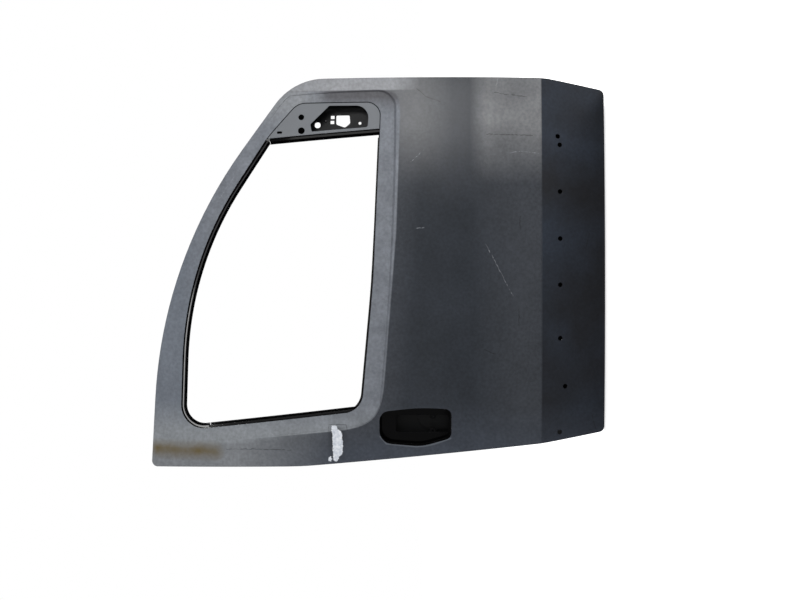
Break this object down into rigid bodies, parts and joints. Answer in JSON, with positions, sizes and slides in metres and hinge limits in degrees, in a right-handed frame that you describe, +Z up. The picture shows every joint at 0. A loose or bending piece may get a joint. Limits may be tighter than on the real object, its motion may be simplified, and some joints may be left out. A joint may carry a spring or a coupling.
{
  "type": "van front door",
  "caption": "Bare pressed-steel right front door shell of a van, with window opening, mirror plate, handle recess and hinge wall.",
  "frame": {"origin": "centre of the upper hinge on the outer face of the hinge wall", "axes": "+X forward out of the hinge wall, +Y inboard, +Z up; the outer skin looks along -Y"},
  "size_m": [1.1954, 0.2159, 1.4037],
  "materials": {
    "skin_primer": "satin",
    "mirror_plate_primer": "satin",
    "inner_coat": "satin",
    "black_coat": "gloss"
  },
  "bodies": {
    "root": {"outer_skin": "skin_primer", "inner_panel": "inner_coat", "hinge_wall_panel": "inner_coat", "inner_window_frame": "inner_coat", "speaker_mount_panel": "inner_coat", "latch_service_panel": "inner_coat", "mirror_mount_plate": "mirror_plate_primer", "mirror_reinforcement": "inner_coat", "upper_glass_channel": "black_coat", "rear_glass_channel": "black_coat", "front_glass_channel": "black_coat", "outer_belt_reinforcement": "inner_coat", "inner_belt_reinforcement": "inner_coat", "handle_bowl": "black_coat", "handle_bracket": "black_coat", "side_impact_beam": "inner_coat", "front_beam_bracket": "inner_coat", "rear_beam_bracket": "inner_coat", "upper_hinge_reinforcement": "inner_coat", "lower_hinge_reinforcement": "inner_coat", "check_strap_reinforcement": "inner_coat", "latch_reinforcement": "inner_coat"}
  },
  "joints": []
}
